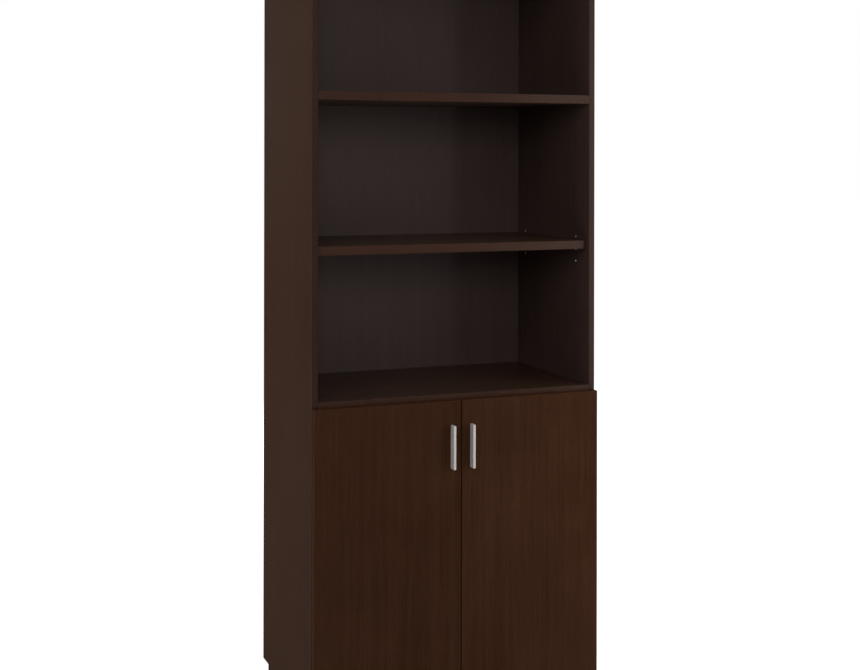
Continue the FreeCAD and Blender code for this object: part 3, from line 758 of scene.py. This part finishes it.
def copies(name, mesh, places, body, slot, *nodes):
    """One piece made of a copy of the mesh at each place."""
    joined = bmesh.new()
    for place in places:
        count = len(joined.verts)
        joined.from_mesh(mesh)
        joined.verts.ensure_lookup_table()
        bmesh.ops.transform(joined, matrix=place, verts=joined.verts[count:])
    data = as_mesh(joined, name)
    data.shade_smooth()
    data.set_sharp_from_angle(angle=SHARP_ANGLE)
    data.materials.append(shared_finishes()[slot])
    piece = in_scene(name, data)
    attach(piece, body)
    if nodes:
        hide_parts(*nodes)


def inwards(part):
    """The way into the bookcase from a part at one of its sides."""
    low, high = part
    return (-1, 0, 0) if (low + high).x > 0 else (1, 0, 0)


def body_of(node):
    """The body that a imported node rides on."""
    bodies = frame["record"]["behaviour"]["bodies"]
    return next(body for body, names in bodies.items() if node in names)


def screws():
    """All screws, each where its packed rod is."""
    for node, (head_height, toward) in SCREWS.items():
        parts = loose_parts(node)
        directions = [toward or inwards(part) for part in parts]
        low, high = parts[0]
        length = abs((high - low).dot(Vector(directions[0])))
        mesh = screw_mesh(sorted(high - low)[0] / 2, head_height, length - head_height)
        places = [
            seated(part, direction, head_height, SCREW_TURN * i)
            for i, (part, direction) in enumerate(zip(parts, directions))
        ]
        copies(node + "_driven", mesh, places, body_of(node), "zinc_screws", node)


def cam_locks():
    """The drums of the fixed shelf open upwards, all others downwards."""
    parts = loose_parts("cam_locks")
    shelf_low, shelf_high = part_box("fixed_shelf")
    low, high = parts[0]
    mesh = cam_mesh((high - low).x / 2, (high - low).z)
    places = []
    for i, part in enumerate(parts):
        up = shelf_low.z < (part[0].z + part[1].z) / 2 < shelf_high.z
        places.append(seated(part, (0, 0, 1 if up else -1), 0, CAM_TURN * i))
    copies("cam_locks_slotted", mesh, places, "cabinet", "nickel_steel", "cam_locks")


def bumpers():
    """The soft bumpers on the inner face of each door."""
    for side in ("left", "right"):
        node = "door_bumpers_" + side
        parts = loose_parts(node)
        low, high = parts[0]
        height = (high - low).y
        mesh = bumper_mesh((high - low).z / 2, height)
        places = [seated(part, (0, 1, 0), height) for part in parts]
        copies(node + "_domed", mesh, places, "door_" + side, "clear_bumper", node)


def glides():
    """The glides, whose feet fill the height between the floor and the side panels."""
    parts = loose_parts("glides")
    low, high = parts[0]
    length = (high - low).z
    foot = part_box("side_panel_left")[0].z
    mesh = glide_mesh((high - low).x / 2, foot, length)
    places = [seated(part, (0, 0, 1), length) for part in parts]
    copies("glides_turned", mesh, places, "cabinet", "glide_plastic", "glides")


def hinge_adjusters():
    """A small adjusting screw in each hinge arm, between the cup and the clamping screw."""
    places = []
    for level in ("low", "high"):
        for side, toward in (("left", 1), ("right", -1)):
            low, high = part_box("hinge_arm_" + level + "_" + side)
            face = high.x if toward > 0 else low.x
            at = Vector((face, high.y - ADJUSTER_FROM_END, (low.z + high.z) / 2))
            turn = FIRST_ADJUSTER_TURN + ADJUSTER_TURN * len(places)
            places.append(seated((at, at), (toward, 0, 0), 0, turn))
    mesh = screw_mesh(ADJUSTER_RADIUS, ADJUSTER_HEAD, ADJUSTER_LENGTH)
    copies("hinge_adjusters", mesh, places, "cabinet", "zinc_screws")


def catch_poles():
    """The magnetic catch, with bare steel pole faces in its plastic housing."""
    data = frame["nodes"]["door_catch"].data.copy()
    data.materials.clear()
    for slot in ("catch_plastic", "nickel_steel"):
        data.materials.append(shared_finishes()[slot])
    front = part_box("deck_panel")[0].y - POLE_PROUD
    for face in data.polygons:
        face.material_index = 1 if face.center.y < front else 0
    piece = in_scene("door_catch_poles", data)
    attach(piece, "cabinet")
    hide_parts("door_catch")
    soften(piece, CATCH_ROUNDING)


def pin_eyelets():
    """A plated eyelet in each free hole, one pitch over and under every shelf pin."""
    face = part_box("side_panel_right")[0].x
    places = []
    for low, high in loose_parts("shelf_pins_upper") + loose_parts("shelf_pins_lower"):
        toward = inwards((low, high))
        for step in (-PIN_PITCH, PIN_PITCH):
            height = low.z + PIN_COLLAR_DROP + step
            at = Vector((-toward[0] * face, (low.y + high.y) / 2, height))
            places.append(seated((at, at), toward, 0))
    copies("shelf_pin_eyelets", eyelet_mesh(), places, "cabinet", "nickel_steel")


def soften(item, width):
    """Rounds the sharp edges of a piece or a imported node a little."""
    weld = item.modifiers.new("weld", "WELD")
    weld.merge_threshold = WELD
    bevel = item.modifiers.new("bevel", "BEVEL")
    bevel.width = width
    bevel.segments = 2
    bevel.limit_method = "ANGLE"
    bevel.angle_limit = BEVEL_ANGLE


def soften_nodes():
    """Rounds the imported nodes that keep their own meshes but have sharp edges."""
    for node, item in frame["nodes"].items():
        for width, starts in SOFTENED.items():
            if node.startswith(starts):
                soften(item, width)


def small_parts():
    """Every piece that is modelled here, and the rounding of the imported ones."""
    screws()
    cam_locks()
    bumpers()
    glides()
    hinge_adjusters()
    catch_poles()
    pin_eyelets()
    soften_nodes()


# ---- the room -----------------------------------------------------------------------------
FLOOR_SIZE = 60.0
FLOOR_COLOUR = (0.80, 0.80, 0.80)
FLOOR_ROUGH = 0.9
FLOOR_GLOW_NEAR, FLOOR_GLOW_FAR = 0.62, 1.0
FLOOR_FADE = (1.2, 3.2)  # distances from the object's axis between which the glow grows
AMBIENT = 0.03

# Soft lamps round the object: azimuth in degrees (0 in front of the doors, 90 to their right),
# height, distance, width and height of the lamp, power in watts, and the height it is aimed at.
LAMPS = {
    "key": (46, 1.3, 1.8, (0.6, 1.6), 9, 1.0),
    "right": (60, 0.9, 1.5, (0.4, 1.8), 9, 1.0),
    "glint": (33, 1.5, 1.8, (0.12, 1.8), 4.5, 1.0),
    "front": (-2, 2.2, 5.0, (1.4, 1.2), 34, 1.0),
    "beside": (-20, 2.4, 5.0, (1.4, 1.2), 60, 1.0),
    "across": (-45, 2.8, 3.8, (1.4, 1.4), 42, 1.0),
    "left": (-90, 1.1, 3.4, (1.4, 2.0), 36, 1.0),
    "above": (0, 4.6, 0.4, (3.4, 3.4), 30, 0.0),
    "behind": (175, 2.2, 4.0, (3.0, 2.4), 60, 1.0),
}


def seen_by_eye(nodes):
    """1 for camera, glossy and transmission rays."""
    path = nodes.add("LightPath").outputs
    share = nodes.math("MAXIMUM", path["Is Camera Ray"], path["Is Glossy Ray"])
    return nodes.math("MAXIMUM", share, path["Is Transmission Ray"])


def floor():
    """A pale floor that takes the object's shadow and fades to white around it."""
    bpy.ops.mesh.primitive_plane_add(size=FLOOR_SIZE, location=(0, 0, 0))
    plane = bpy.context.object
    plane.name = "floor"
    finish = Finish("floor")
    finish.set(Base_Color=FLOOR_COLOUR, Roughness=FLOOR_ROUGH, Specular_IOR_Level=0.0)
    away = finish.add("VectorMath", {0: finish.place}, operation="LENGTH").outputs["Value"]
    glow = finish.between(away, *FLOOR_FADE, FLOOR_GLOW_NEAR, FLOOR_GLOW_FAR)
    strength = finish.math("MULTIPLY", glow, seen_by_eye(finish))
    white = finish.add("Emission", {"Color": WHITE, "Strength": strength}).outputs[0]
    both = finish.add("AddShader", {0: finish.shader.outputs[0], 1: white}).outputs[0]
    finish.put(finish.tree.nodes["Material Output"].inputs["Surface"], both)
    plane.data.materials.append(finish.material)


def world():
    """White to the eye and in gloss and glass, and a faint light on everything else."""
    room = bpy.data.worlds.new("room")
    room.use_nodes = True
    nodes = Nodes(room.node_tree)
    nodes.tree.nodes.clear()
    faint = nodes.add("Background", {"Color": WHITE, "Strength": AMBIENT}).outputs[0]
    white = nodes.add("Background", {"Color": WHITE, "Strength": 1.0}).outputs[0]
    both = nodes.add("MixShader", {0: seen_by_eye(nodes), 1: faint, 2: white}).outputs[0]
    nodes.add("OutputWorld", {"Surface": both})
    bpy.context.scene.world = room


def soft_light(name, azimuth, height, distance, size, power, aim):
    """A lamp at a distance from the object's axis, turned towards that axis."""
    lamp = bpy.data.lights.new(name, "AREA")
    lamp.shape = "RECTANGLE"
    lamp.size, lamp.size_y = size
    lamp.energy = power
    item = in_scene(name, lamp)
    angle = math.radians(azimuth)
    item.location = (distance * math.sin(angle), -distance * math.cos(angle), height)
    toward = Vector((0, 0, aim)) - item.location
    item.rotation_euler = toward.to_track_quat("-Z", "Y").to_euler()


def lights():
    """All the lamps."""
    for name, lamp in LAMPS.items():
        soft_light(name, *lamp)


def camera():
    """The photograph's camera, with the shift that its cropping needs."""
    data = bpy.data.cameras.new("camera")
    wide, high = IMAGE_SIZE
    data.sensor_width = SENSOR_WIDTH
    data.lens = SENSOR_WIDTH * FOCAL_PIXELS / wide
    data.shift_x = (wide / 2 - PRINCIPAL_POINT[0]) / wide
    data.shift_y = (PRINCIPAL_POINT[1] - high / 2) / wide
    item = in_scene("camera", data)
    item.location = CAMERA_PLACE
    item.rotation_euler = (math.pi / 2, -CAMERA_ROLL, -CAMERA_TURN)
    bpy.context.scene.camera = item


# ---- putting it together ------------------------------------------------------------------
dress_nodes()
small_parts()
floor()
world()
lights()
camera()
bpy.context.scene.view_settings.view_transform = "Standard"
